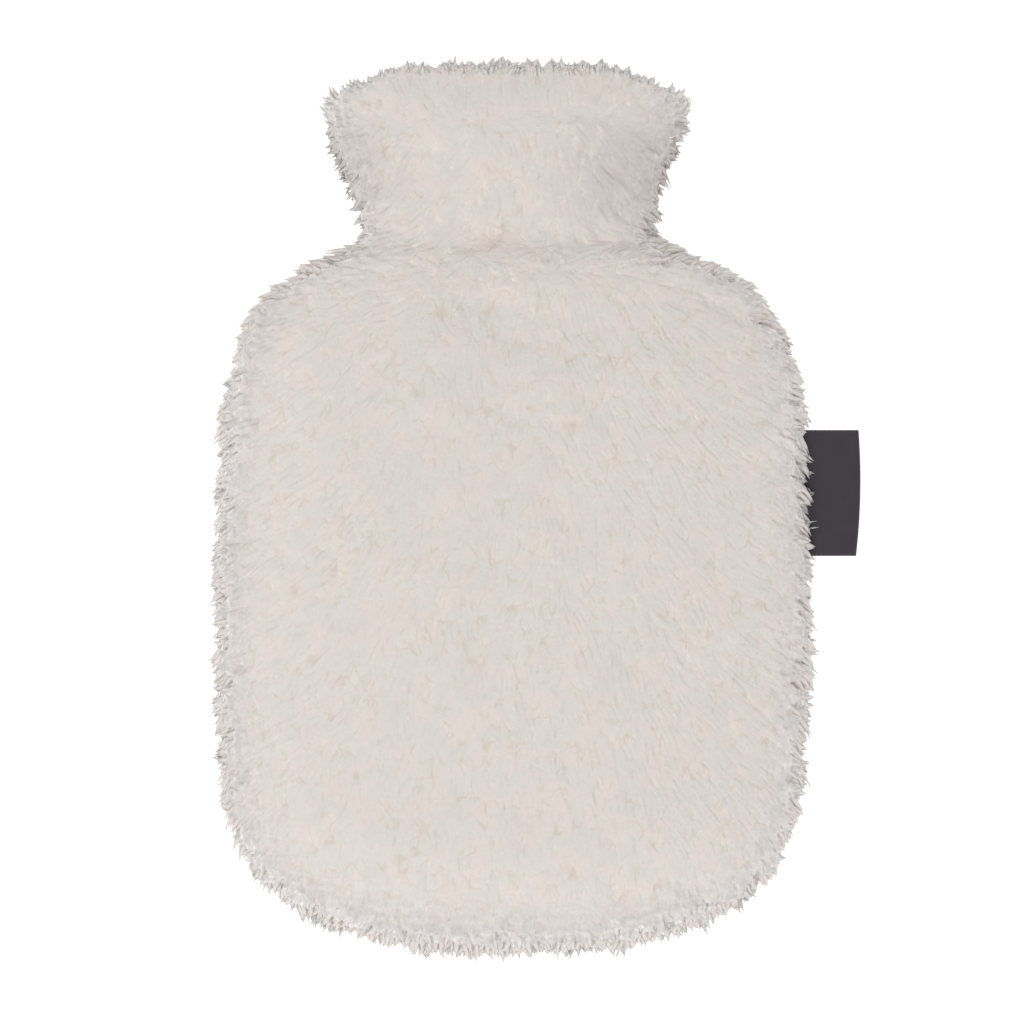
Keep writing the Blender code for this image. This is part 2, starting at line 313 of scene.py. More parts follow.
def close_material(graph: Graph, surface: dict, bump: Optional[Field] = None, depth: float = 0.1) -> None:
    """Add the Principled shader, its bump and the output.

    Args:
        graph: the material's graph.
        surface: the shader's socket values and links.
        bump: a height from 0 to 1.
        depth: how deep the bump is, in millimetres.
    """
    sockets = dict(surface)
    if bump is not None:
        heights = {"Height": bump, "Distance": depth * MM}
        sockets["Normal"] = graph.out("ShaderNodeBump", "Normal", sockets=heights)
    shader = graph.node("ShaderNodeBsdfPrincipled", {"subsurface_method": "BURLEY"}, sockets)
    graph.node("ShaderNodeOutputMaterial", sockets={"Surface": shader.outputs["BSDF"]})


@dataclass(frozen=True)
class Clumps:
    """How pile gathers: uneven cells, longer along the cover than across it, in millimetres."""

    size: float = 4.2
    stretch: float = 0.66
    wander: float = 3.4
    wander_size: float = 6.0
    line_size: float = 5.0
    line_stretch: float = 0.5
    wiggle: float = 1.4
    wiggle_size: float = 3.0
    shifts: Triple = (0.11, 0.23, 0.37)
    patch: float = 6.0
    patch_edges: Pair = (0.48, 0.70)

    def cells(self, graph: Graph, place: Field) -> tuple[Field, bpy.types.Node]:
        """Add the cells.

        Args:
            graph: the tree.
            place: the point that is looked up.

        Returns:
            The point as the cells see it, and the Voronoi node.
        """
        wander = graph.noise(place, self.wander_size * MM, detail=2.0, output="Color") - 0.5
        seen = place + wander * (self.wander * MM)
        sockets = {"Vector": seen * (1.0, self.stretch, 1.0), "Scale": 1.0 / (self.size * MM)}
        return seen, graph.node("ShaderNodeTexVoronoi", sockets=sockets)

    def crevices(self, graph: Graph, place: Field, width: float) -> Field:
        """Give 1 along short curved lines, mostly down the cover, and 0 elsewhere.

        Args:
            graph: the tree.
            place: the point that is looked up.
            width: how wide the lines are, from 0 to 1.

        Returns:
            The depth of the crevice.
        """
        depth = 0.0
        wiggle = (graph.noise(place, self.wiggle_size * MM, output="Color") - 0.5) * (self.wiggle * MM)
        for shift in self.shifts:
            seen = (place + wiggle + shift) * (1.0, self.line_stretch, 1.0)
            line = abs(graph.noise(seen, self.line_size * MM, detail=0.0) - 0.5)
            here = graph.smooth(graph.noise(place - shift, self.patch * MM), *self.patch_edges)
            depth = ((1.0 - graph.smooth(line, 0.0, width)) * here).at_least(depth)
        return depth


def steepness(facing: Field) -> Field:
    """Give how steep a face is, 0 on the level and 1 upright, from the way that it faces."""
    return (facing * (1.0, 1.0, 0.0)).length()


def streaks(graph: Graph, place: Field, way: Field, size: float, steps: Steps) -> Field:
    """Give noise that is drawn out along a way, from 0 to 1.

    Args:
        graph: the tree.
        place: the point that is looked up.
        way: a vector along the streaks.
        size: the width of a streak, in metres.
        steps: the shares of the way at which the noise is read.

    Returns:
        The mean of the readings.
    """
    total = 0.0
    for step in steps:
        total = graph.noise(place + way * step, size, detail=0.0) + total
    return total / float(len(steps))


@dataclass(frozen=True)
class PlushFinish:
    """Cream pile: faint rosy and greyish patches, beige roots or crevices, fine fibres, and painted shade:
    greyer on steep faces and at the sides of the neck.
    """

    root: Triple = (0.86, 0.77, 0.66)
    rosy_tip: Triple = (0.955, 0.865, 0.812)
    cool_tip: Triple = (0.905, 0.865, 0.812)
    # Painted shade: the greyer colour that the steep faces of the pile take.
    rim: Triple = (0.82, 0.79, 0.775)
    patch_size: float = 8.0
    patch_edges: Pair = (0.38, 0.62)
    steep_shade_edges: Pair = (0.45, 1.05)
    clumps: Optional[Clumps] = None
    crevice: float = 0.042
    scatter: float = 0.0
    scatter_reach: float = 1.2
    fibre: float = 1.1
    fibre_depth: float = 1.4
    fibre_steps: Steps = (-2.3, -1.4, -0.8, 0.0, 0.5, 1.6, 2.4)
    rim_fibre: float = 1.2
    # Painted shade: the grey colour and the place of a patch at the sides of the neck.
    neck_shade: Triple = (0.73, 0.68, 0.655)
    neck_shade_middle: float = -10.0
    neck_shade_across: Pair = (10.0, 56.0)
    neck_shade_low: Pair = (106.0, 120.0)
    neck_shade_high: Pair = (132.0, 152.0)

    def neck_shade_share(self, graph: Graph, place: Field) -> Field:
        """Give the share of painted shade on the pile: grey at the sides of the neck, most of all on the
        label's side.

        Args:
            graph: the material's graph.
            place: the point of the pile.

        Returns:
            The share of painted shade, from 0 to 1.
        """
        across, low, high = ((a * MM, b * MM) for a, b in (self.neck_shade_across, self.neck_shade_low, self.neck_shade_high))
        along = graph.smooth(place.y, *low) * (1.0 - graph.smooth(place.y, *high))
        return graph.smooth(abs(place.x - self.neck_shade_middle * MM), *across) * along

    def make(self, name: str) -> bpy.types.Material:
        """Build the material.

        Args:
            name: the material's name.

        Returns:
            The material. On cloth it reads the attributes "face" and "strand", and on tufts "height".
        """
        material, graph = new_material(name)
        place = graph.out("ShaderNodeTexCoord", "Object")
        patches = graph.noise(place, self.patch_size * MM, detail=2.0)
        tip = graph.blend(graph.smooth(patches, *self.patch_edges), self.rosy_tip, self.cool_tip)
        if self.clumps:
            height = 1.0 - self.clumps.crevices(graph, place, self.crevice)
        else:
            height = graph.attribute("height", "Fac")
        # Painted shade: steep faces blend towards the greyer rim colour.
        slope = graph.smooth(steepness(graph.attribute("face", "Vector")), *self.steep_shade_edges)
        colour = graph.blend(slope, graph.blend(height, self.root, tip), self.rim)
        # Painted shade: the pile turns grey at the sides of the neck.
        colour = graph.blend(self.neck_shade_share(graph, place), colour, self.neck_shade)
        along = graph.attribute("strand", "Vector") * MM
        fibres = streaks(graph, place, along, self.fibre * MM, self.fibre_steps)
        fibres = fibres * (slope * self.rim_fibre + 1.0)
        surface = {
            "Base Color": colour,
            "Roughness": 0.9,
            "Specular IOR Level": 0.15,
            "Subsurface Weight": self.scatter,
            "Subsurface Radius": (1.0, 1.0, 1.0),
            "Subsurface Scale": self.scatter_reach * MM,
        }
        close_material(graph, surface, fibres, self.fibre_depth)
        return material


@dataclass(frozen=True)
class KnitFinish:
    """The knitted back of the plush: rows of small loops in a warm white yarn."""

    yarn: Triple = (0.78, 0.72, 0.63)
    groove: Triple = (0.55, 0.48, 0.38)
    wale: float = 1.1
    course: float = 0.8
    slant: float = 2.0
    wale_share: float = 0.6
    chevron_share: float = 0.2
    base: float = 0.2
    depth: float = 0.25

    def make(self, name: str) -> bpy.types.Material:
        """Build the material.

        Args:
            name: the material's name.

        Returns:
            The material.
        """
        material, graph = new_material(name)
        place = graph.out("ShaderNodeTexCoord", "Object")
        wales = abs(graph.sine(place.x * (math.pi / (self.wale * MM))))
        along = place.y * (2.0 * math.pi / (self.course * MM))
        chevrons = graph.sine(along + wales * self.slant)
        loops = wales * self.wale_share + chevrons * self.chevron_share + self.base
        colour = graph.blend(loops, self.groove, self.yarn)
        surface = {"Base Color": colour, "Roughness": 0.9, "Specular IOR Level": 0.2}
        close_material(graph, surface, loops, self.depth)
        return material


@dataclass(frozen=True)
class TapeFinish:
    """Dark woven satin tape: fine ribs across it and a tighter selvedge along its two edges."""

    face: Triple = (0.078, 0.064, 0.080)
    shade: Triple = (0.044, 0.036, 0.047)
    stitch: Triple = (0.16, 0.14, 0.165)
    rib: float = 0.42
    thread: float = 0.30
    stitch_length: float = 1.1
    width: float = 37.8
    selvedge: float = 0.9
    crossing: float = 0.35
    ridge: float = 0.15
    wear_size: float = 4.0
    wear: float = 0.4
    stitch_share: float = 0.6
    depth: float = 0.08

    def make(self, name: str) -> bpy.types.Material:
        """Build the material.

        Args:
            name: the material's name.

        Returns:
            The material. It reads the tape's UV map, in metres along the tape and across it.
        """
        material, graph = new_material(name)
        flat = graph.out("ShaderNodeTexCoord", "UV")
        ribs = graph.sine(flat.x * (2.0 * math.pi / (self.rib * MM)))
        threads = graph.sine(flat.y * (2.0 * math.pi / (self.thread * MM)))
        weave = ribs * threads * self.crossing + threads * self.ridge + 0.5
        worn = graph.noise(flat, self.wear_size * MM, detail=3.0)
        colour = graph.blend(weave * (1.0 - self.wear) + worn * self.wear, self.shade, self.face)
        edge = self.width / 2
        near_edge = graph.smooth(abs(flat.y), (edge - self.selvedge) * MM, edge * MM)
        dashes = graph.sine(flat.x * (2.0 * math.pi / (self.stitch_length * MM))) > 0.0
        colour = graph.blend(dashes * near_edge * self.stitch_share, colour, self.stitch)
        surface = {
            "Base Color": colour,
            "Roughness": 0.62,
            "Specular IOR Level": 0.35,
            "Sheen Weight": 0.15,
            "Sheen Roughness": 0.4,
        }
        close_material(graph, surface, weave, self.depth)
        return material


@dataclass(frozen=True)
class FloorFinish:
    """The white paper of the photographer's table."""

    paper: Triple = (0.9, 0.9, 0.9)
    glow: float = 0.7

    def make(self, name: str) -> bpy.types.Material:
        """Build the material.

        Args:
            name: the material's name.

        Returns:
            The material.
        """
        material, graph = new_material(name)
        surface = {
            "Base Color": self.paper,
            "Roughness": 0.95,
            "Specular IOR Level": 0.0,
            "Emission Color": (1.0, 1.0, 1.0),
            "Emission Strength": self.glow,
        }
        close_material(graph, surface)
        return material


# ---------------------------------------------------------------- helpers for meshes


def only(*objects: bpy.types.Object) -> None:
    """Select these objects alone and make the first one active.

    Args:
        objects: the objects.
    """
    bpy.ops.object.select_all(action="DESELECT")
    for item in objects:
        item.select_set(True)
    bpy.context.view_layer.objects.active = objects[0]


def copy_of(source: bpy.types.Object, name: str) -> bpy.types.Object:
    """Copy an object's mesh into a new object.

    Args:
        source: a CAD node or a piece.
        name: the new object's name.

    Returns:
        The copy, which is no CAD node and rides on nothing yet.
    """
    twin = bpy.data.objects.new(name, source.data.copy())
    bpy.context.scene.collection.objects.link(twin)
    return twin


def add_modifier(item: bpy.types.Object, kind: str, **settings: Any) -> None:
    """Add a modifier, set it, and apply it.

    Args:
        item: the object.
        kind: the modifier's type.
        settings: its properties.
    """
    only(item)
    modifier = item.modifiers.new(kind.lower(), kind)
    for name, value in settings.items():
        setattr(modifier, name, value)
    bpy.ops.object.modifier_apply(modifier=modifier.name)


def dress(item: bpy.types.Object, slot: str, *materials: bpy.types.Material) -> None:
    """Give a finished piece its materials, let it ride, and report it.

    Args:
        item: the piece.
        slot: not used.
        materials: its materials, in order.
    """
    item.data.materials.clear()
    for material in materials:
        item.data.materials.append(material)
    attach(item, "root")
    item.data.calc_loop_triangles()
    LOG.info("%s: %d triangles", item.name, len(item.data.loop_triangles))


# ---------------------------------------------------------------- cloth


class Side(Enum):
    """What a face of a panel of cloth is, as its mesh attribute says."""

    LINING = 0
    PILE = 1
    HEM_EDGE = 2


@dataclass(frozen=True)
class Comb:
    """The way in which the pile is combed: out over the edges, down the body and up to the hem."""

    outward: float = 3.0
    downward: float = 0.8
    upward: float = 0.8
    drift: float = 1.6
    drift_size: float = 14.0
    lift_at_shoulders: float = 0.6
    hem_from: float = 128.0
    hem_to: float = 152.0

    def lean(self, graph: Graph, place: Field, normal: Field) -> Field:
        """Give the lean of the pile, in shares of its length.

        Args:
            graph: the tree.
            place: a point of the cloth.
            normal: the way that the cloth faces there.

        Returns:
            The lean, not yet along the cloth.
        """
        lift = graph.smooth(place.y, self.hem_from * MM, self.hem_to * MM)
        along = lift * (self.upward + self.downward) - self.downward
        elsewhere = place + (0.3, 0.1, 0.2)
        drift = graph.noise(elsewhere, self.drift_size * MM, detail=2.0, output="Color") - 0.5
        down = (normal.y * -1.0).at_least(normal.y * -self.lift_at_shoulders)
        facing = graph.vector(normal.x, down * -1.0, 0.0)
        return facing * self.outward + along * (0.0, 1.0, 0.0) + drift * self.drift


@dataclass(frozen=True)
class Crease:
    """A soft trough in the pile between two points, in millimetres."""

    start: Pair
    end: Pair
    width: float
    depth: float
    fade: float = 0.6

    def depth_at(self, graph: Graph, place: Field) -> Field:
        """Give how deep a point lies in the trough.

        Args:
            graph: the tree.
            place: a point of the cloth.

        Returns:
            1 along the middle of the trough, and 0 outside it.
        """
        way = Vector(self.end) - Vector(self.start)
        from_start = place * (1.0, 1.0, 0.0) - (self.start[0] * MM, self.start[1] * MM, 0.0)
        share = from_start.dot((way.x, way.y, 0.0)) / (way.length_squared * MM)
        share = graph.maths("MINIMUM", share.at_least(0.0), 1.0)
        gap = from_start - (way.x * MM, way.y * MM, 0.0) * share
        ends = graph.smooth(share * (1.0 - share) * 4.0, 0.0, self.fade)
        return (1.0 - graph.smooth(gap.length(), 0.0, self.width * MM)) * ends


@dataclass
class Panel:
    """One bottle-shaped cut of plush: the knitted cloth and the dense mass of its pile."""

    name: str
    node: str
    seam: float
    cuts: int
    clumps: Clumps
    creases: tuple[Crease, ...] = ()
    comb: Comb = Comb()
    merge: float = 0.001
    quads_within: float = 60.0
    steep: float = 0.8
    end_centre: float = -50.0
    facing_out: float = 0.05
    hem_facing: float = 0.8
    hem_within: float = 3.0
    sink: float = 1.7
    hem_sink: float = 1.0
    hem_from: float = 138.0
    hem_at: float = 157.4
    hem_reach: Pair = (9.0, 1.0)
    hem_swell: float = 2.0
    hem_crest: float = 2.0
    hem_roll: float = 0.8
    seam_reach: Pair = (0.2, 2.5)
    level_within: float = 0.5
    moved_from: float = 0.9
    crevice: float = 0.7
    crevice_width: float = 0.07
    lobe: float = 0.45
    slope_edges: Pair = (0.35, 0.95)
    lock: float = 2.0
    slope_lock: float = 3.0
    lock_width: float = 1.9
    lock_steps: Steps = (-2.6, -1.3, 0.0, 1.3, 2.6)
    crest: float = 1.0
    crest_narrowing: float = 14.0
    streak: float = 0.8
    streak_width: float = 1.3
    streak_steps: Steps = (-4.6, -3.1, -1.4, 0.0, 1.7, 2.9, 4.4)
    streak_edges: Pair = (0.08, 0.5)
    swell: float = 4.0
    corner_loss: float = 0.12
    corner_edges: Pair = (0.2, 0.9)
    shoulder_loss: float = 0.42
    shoulder_edges: Pair = (0.1, 0.8)
    bottom_gain: float = 0.25
    bottom_edges: Pair = (0.3, 0.95)
    neck_root: float = 106.0
    root_reach: Pair = (3.0, 12.0)
    root_loss: float = 0.45
    rim_lump: float = 6.0
    rim_lump_size: float = 9.0
    flat: Pair = (195.0, 285.0)
    cut_area: float = 0.0465

    def is_pile(self, face: bmesh.types.BMFace) -> Side:
        """Say which side of the cloth a face is on.

        Args:
            face: a face of the panel's solid.

        Returns:
            The side.
        """
        middle = face.calc_center_median()
        if face.normal.y > self.hem_facing and middle.y > (self.hem_at - self.hem_within) * MM:
            return Side.HEM_EDGE
        below_middle = min(0.0, middle.y - self.end_centre * MM)
        outward = Vector((middle.x, below_middle, middle.z - self.seam * MM)).normalized()
        return Side.PILE if face.normal.dot(outward) > self.facing_out else Side.LINING

    def sink_of(self, y: float) -> float:
        """Give how far the cloth lies under the face of the solid, at a place along the cover."""
        share = min(1.0, max(0.0, (y / MM - self.hem_from) / (self.hem_at - self.hem_from)))
        return (self.sink + (self.hem_sink - self.sink) * share) * MM

    def build(self, nodes: dict) -> bpy.types.Object:
        """Make the cloth from a merged copy of its solid, with its pile side moved in.

        Args:
            nodes: the CAD nodes by name.

        Returns:
            The cloth.
        """
        cloth = copy_of(nodes[self.node], self.name)
        only(cloth)
        bpy.ops.object.mode_set(mode="EDIT")
        bpy.ops.mesh.select_all(action="SELECT")
        bpy.ops.mesh.remove_doubles(threshold=self.merge * MM)
        angle = math.radians(self.quads_within)
        bpy.ops.mesh.tris_convert_to_quads(face_threshold=angle, shape_threshold=angle)
        bpy.ops.object.mode_set(mode="OBJECT")
        self.move_pile_side(cloth.data)
        add_modifier(cloth, "SUBSURF", levels=1, render_levels=1)
        self.refine_pile_side(cloth, self.cuts, 0.0)
        self.refine_pile_side(cloth, 1, self.steep)
        add_modifier(cloth, "NODES", node_group=self.relief())
        cloth.data.shade_smooth()
        return cloth

    def refine_pile_side(self, cloth: bpy.types.Object, cuts: int, steeper_than: float) -> None:
        """Cut the faces of the pile side finely, and leave the lining coarse.

        Args:
            cloth: the panel of cloth.
            cuts: how many cuts each edge gets.
            steeper_than: the least slope of the faces that are cut, from 0 to 1.
        """
        only(cloth)
        bpy.ops.object.mode_set(mode="EDIT")
        bpy.ops.mesh.select_mode(type="FACE")
        bpy.ops.mesh.select_all(action="DESELECT")
        bpy.ops.object.mode_set(mode="OBJECT")
        sides = cloth.data.attributes["side"].data
        for face, side in zip(cloth.data.polygons, sides):
            face.select = side.value == Side.PILE.value and face.normal.xy.length >= steeper_than
        bpy.ops.object.mode_set(mode="EDIT")
        bpy.ops.mesh.subdivide(number_cuts=cuts)
        bpy.ops.object.mode_set(mode="OBJECT")

    def fullness(self, graph: Graph, place: Field, normal: Field) -> Field:
        """Give how far the pile stands out at the rim: less at the shoulders and more at the bottom.

        Args:
            graph: the tree.
            place: a point of the cloth.
            normal: the way that the cloth faces there.

        Returns:
            The distance, in millimetres.
        """
        corner = graph.smooth(abs(normal.x) * normal.y * -2.0, *self.corner_edges)
        shoulder = graph.smooth(normal.y, *self.shoulder_edges)
        bottom = graph.smooth(normal.y * -1.0, *self.bottom_edges)
        near, far = (reach * MM for reach in self.root_reach)
        at_root = 1.0 - graph.smooth(abs(place.y - self.neck_root * MM), near, far)
        share = 1.0 - corner * self.corner_loss - shoulder * self.shoulder_loss
        share = share + bottom * self.bottom_gain - at_root * self.root_loss
        lumps = (graph.noise(place, self.rim_lump_size * MM) - 0.5) * self.rim_lump
        return share * self.swell + lumps

    def locks(self, graph: Graph, place: Field, normal: Field, flow: Field) -> tuple[Field, Field]:
        """Give the height of the locks, which lie along the comb and are deepest at the rim.

        Args:
            graph: the tree.
            place: a point of the cloth.
            normal: the way that the cloth faces there.
            flow: the way that the pile lies there.

        Returns:
            The height in millimetres, and the crests of the locks from 0 to 1.
        """
        slope = graph.smooth(steepness(normal), *self.slope_edges)
        wave = streaks(graph, place, flow * MM, self.lock_width * MM, self.lock_steps) - 0.5
        crest = (1.0 - abs(wave) * self.crest_narrowing).at_least(0.0)
        rim = (crest * self.crest + self.fullness(graph, place, normal) * slope) * slope
        height = wave * (slope * self.slope_lock + self.lock) + rim
        near_rim = graph.smooth(steepness(normal), *self.streak_edges)
        long_wave = streaks(graph, place, flow * MM, self.streak_width * MM, self.streak_steps) - 0.5
        height = long_wave * near_rim * self.streak + height
        for crease in self.creases:
            height = height - crease.depth_at(graph, place) * crease.depth
        return height, crest

    def relief(self) -> bpy.types.NodeTree:
        """Write the node tree that carves the clumps of the pile into its mass.

        Returns:
            The tree.
        """
        tree = bpy.data.node_groups.new(self.name + "_relief", "GeometryNodeTree")
        tree.interface.new_socket("Cloth", in_out="INPUT", socket_type="NodeSocketGeometry")
        tree.interface.new_socket("Cloth", in_out="OUTPUT", socket_type="NodeSocketGeometry")
        graph = Graph(tree)
        cloth = graph.out("NodeGroupInput", "Cloth")
        place = graph.position()
        normal = graph.out("GeometryNodeInputNormal", "Normal")
        near, far = (reach * MM for reach in self.seam_reach)
        off_seam = graph.smooth(abs(place.z - self.seam * MM), near, far)
        start, full = ((self.hem_at - reach) * MM for reach in self.hem_reach)
        hem = graph.smooth(place.y, start, full)
        lean = self.comb.lean(graph, place, normal)
        flow = (lean - normal * lean.dot(normal)).unit()
        locks, crest = self.locks(graph, place, normal, flow)
        crevices = self.clumps.crevices(graph, place, self.crevice_width)
        centres = self.clumps.cells(graph, place)[1]
        dome = 1.0 - Field(graph, centres.outputs["Distance"])
        height = (dome * self.lobe - crevices * self.crevice) * off_seam + locks
        away = graph.vector(normal.x, normal.y, normal.z * off_seam).unit()
        rolled = normal * (0.0, 0.0, 1.0) * (hem * hem * self.hem_roll)
        raised = (0.0, 1.0, 0.0) * (hem * (crest * self.hem_crest + self.hem_swell)) - rolled
        is_moved = graph.read("side", "INT") > self.moved_from
        offset = (away * (height * (1.0 - hem)) + raised) * (is_moved * MM)
        moved = graph.store(cloth, "strand", flow)
        moved = graph.store(moved, "face", normal)
        sockets = {"Geometry": moved, "Offset": offset}
        moved = graph.out("GeometryNodeSetPosition", "Geometry", sockets=sockets)
        graph.node("NodeGroupOutput", sockets={"Cloth": moved})
        return tree

    def move_pile_side(self, mesh: bpy.types.Mesh) -> None:
        """Mark each face's side and move the pile side in, level along the seam.

        Args:
            mesh: the panel's merged mesh.
        """
        shape = bmesh.new()
        shape.from_mesh(mesh)
        side = shape.faces.layers.int.new("side")
        for face in shape.faces:
            face[side] = self.is_pile(face).value
        moves = {}
        for point in shape.verts:
            normals = [face.normal for face in point.link_faces if face[side] == Side.PILE.value]
            if normals:
                away = sum(normals, Vector())
                if abs(point.co.z - self.seam * MM) < self.level_within * MM:
                    away.z = 0.0
                moves[point] = away.normalized() * self.sink_of(point.co.y)
        for point, move in moves.items():
            point.co -= move
        shape.to_mesh(mesh)
        shape.free()


# ---------------------------------------------------------------- pile


class Region(Enum):
    """The stretch of cloth that one piece of pile grows on."""

    FRONT = "front"
    BACK = "back"
    SEAM = "seam"
    HEM = "hem"


@dataclass(frozen=True)
class Nap:
    """How pile stands. Sizes are in millimetres, and leans are shares of a tuft's length."""

    clumps: Clumps = Clumps()
    comb: Comb = Comb()
    spacing: float = 1.3
    length: float = 4.2
    width: float = 1.1
    belly: float = 0.6
    flatness: float = 0.3
    rise: float = 0.7
    middle_rise: float = 0.35
    middle_lean: float = 0.8
    depth: float = 0.9
    gather: float = 0.8
    swirl: float = 0.1
    stray: float = 0.2
    twist: float = 0.3
    levelling: float = 0.8
    shortest: float = 0.6
    clump_variety: float = 0.7
    tuft_variety: float = 0.06
    edge_growth: float = 0.2
    bare_below: float = 0.75
    full_above: float = 1.0


@dataclass
class Pile:
    """One stretch of pile, grown by geometry nodes as tufts whose instances are realized."""

    name: str
    region: Region
    nap: Nap
    seam: float
    low: float = -200.0
    high: float = 200.0
    band: float = 5.0
    closing: float = 0.7
    closing_within: float = 0.3
    rim_from: float = 155.5
    rim_to: float = 158.0
    floor: float = 0.25
    tries: float = 4.0
    seed: int = 1
    chance_seed: int = 7
    sides: int = 4
    steps: int = 3

    def place_on(self, graph: Graph) -> Field:
        """Choose the faces of cloth that this pile grows on.

        Args:
            graph: the tree.

        Returns:
            1 on those faces, and 0 elsewhere.
        """
        place = graph.position()
        side = graph.read("side", "INT")
        has_pile = abs(side - float(Side.PILE.value)) < 0.5
        height = place.z - self.seam * MM
        within = (place.y > self.low * MM) * (place.y < self.high * MM)
        if self.region is Region.FRONT:
            return has_pile * within * (height > self.band * MM)
        if self.region is Region.BACK:
            return has_pile * within * (height < -self.band * MM)
        if self.region is Region.SEAM:
            return has_pile * within * (abs(height) < self.band * MM)
        return (side > Side.HEM_EDGE.value - 0.5) + has_pile * within

    def thickness(self, graph: Graph) -> Value:
        """Give how thickly the tufts stand. On the front and the hem there are none on the flat.

        Args:
            graph: the tree.

        Returns:
            The share of the tufts that stand, from 0 to 1.
        """
        if self.region in (Region.SEAM, Region.BACK):
            return 1.0
        steep = graph.smooth(steepness(graph.read("face")), self.nap.bare_below, self.nap.full_above)
        if self.region is Region.FRONT:
            return steep
        at_rim = graph.smooth(graph.position().y, self.rim_from * MM, self.rim_to * MM)
        return at_rim.at_least(steep)

    def pull(self, graph: Graph, place: Field, normal: Field) -> tuple[Field, Field]:
        """Give the way from each root to the middle of its clump, and the clump's random numbers.

        Args:
            graph: the tree.
            place: where each tuft is rooted.
            normal: the way that the cloth faces there.

        Returns:
            The way along the cloth, and a vector from 0 to 1.
        """
        clumps = self.nap.clumps
        seen, cells = clumps.cells(graph, place)
        middle = Field(graph, cells.outputs["Position"]) / (1.0, clumps.stretch, 1.0)
        way = middle - seen
        return way - normal * way.dot(normal), Field(graph, cells.outputs["Color"])

    def scatter(self, graph: Graph) -> Field:
        """Set out the roots of the tufts.

        Args:
            graph: the tree.

        Returns:
            The roots, as points.
        """
        spacing = self.nap.spacing * MM
        sockets = {
            "Mesh": graph.out("NodeGroupInput", "Cloth"),
            "Selection": self.place_on(graph),
            "Distance Min": spacing,
            "Density Max": self.tries / spacing**2,
            "Density Factor": self.thickness(graph),
            "Seed": self.seed,
        }
        settings = {"distribute_method": "POISSON"}
        return graph.out("GeometryNodeDistributePointsOnFaces", "Points", settings, sockets)

    def course(self, graph: Graph) -> dict[str, Field]:
        """Give the curve that each tuft follows, from its root past its middle to its tip.

        Args:
            graph: the tree.

        Returns:
            The three points and the tuft's random turn, by the names of their attributes.
        """
        nap = self.nap
        normal = graph.read("face").unit()
        place = graph.position() - normal * (nap.depth * MM)
        bounds = {0: (-1.0, -1.0, -1.0), 1: (1.0, 1.0, 1.0), "Seed": self.seed + self.chance_seed}
        chance = graph.out("FunctionNodeRandomValue", 0, {"data_type": "FLOAT_VECTOR"}, bounds)
        pull, clump = self.pull(graph, place, normal)
        edge = steepness(normal)
        share = clump.x * nap.clump_variety + nap.shortest + chance.x * nap.tuft_variety
        length = (share + edge * edge * nap.edge_growth) * (nap.length * MM)
        lean = nap.comb.lean(graph, place, normal) + chance * nap.stray + (clump - 0.5) * nap.stray
        if self.region is Region.SEAM:
            above = place.z - self.seam * MM
            reach = self.closing_within * MM
            over_seam = 1.0 - graph.smooth(above, -reach, reach) * 2.0
            lean = lean + (0.0, 0.0, 1.0) * (over_seam * self.closing)
        lean = lean - normal * lean.dot(normal)
        tip = place + (normal * nap.rise + lean).unit() * length
        tip = tip + pull * nap.gather + normal.cross(pull) * nap.swirl
        upright = (normal * (nap.rise + nap.middle_rise) + lean * nap.middle_lean).unit()
        middle = place + upright * length * 0.5 + pull * (nap.gather / 4)
        middle, tip = (self.above_floor(graph, point) for point in (middle, tip))
        return {"root": place, "middle": middle, "tip": tip, "spin": chance}

    def plant(self) -> bpy.types.NodeTree:
        """Write the node tree that turns cloth into this pile.

        Returns:
            The tree.
        """
        tree = bpy.data.node_groups.new(self.name, "GeometryNodeTree")
        tree.interface.new_socket("Cloth", in_out="INPUT", socket_type="NodeSocketGeometry")
        tree.interface.new_socket("Pile", in_out="OUTPUT", socket_type="NodeSocketGeometry")
        graph = Graph(tree)
        geometry = self.scatter(graph)
        kept = self.course(graph)
        for name, value in kept.items():
            geometry = graph.store(geometry, name, value)
        cone = {"Vertices": self.sides, "Side Segments": self.steps}
        cone.update({"Radius Top": 0.0, "Radius Bottom": 1.0, "Depth": 1.0})
        tuft = graph.out("GeometryNodeMeshCone", "Mesh", sockets=cone)
        sockets = {"Points": geometry, "Instance": tuft}
        geometry = graph.out("GeometryNodeInstanceOnPoints", "Instances", sockets=sockets)
        geometry = graph.out("GeometryNodeRealizeInstances", "Geometry", sockets={"Geometry": geometry})
        geometry = self.shape(graph, geometry)
        for name in (*kept, "face"):
            sockets = {"Geometry": geometry, "Name": name}
            geometry = graph.out("GeometryNodeRemoveAttribute", "Geometry", sockets=sockets)
        geometry = graph.out("GeometryNodeSetShadeSmooth", 0, sockets={0: geometry})
        graph.node("NodeGroupOutput", sockets={"Pile": geometry})
        return tree

    def above_floor(self, graph: Graph, place: Field) -> Field:
        """Give the place, or the one straight above it that is clear of the floor."""
        height = place.z.at_least((self.floor + self.nap.width * 0.5) * MM)
        return graph.vector(place.x, place.y, height)

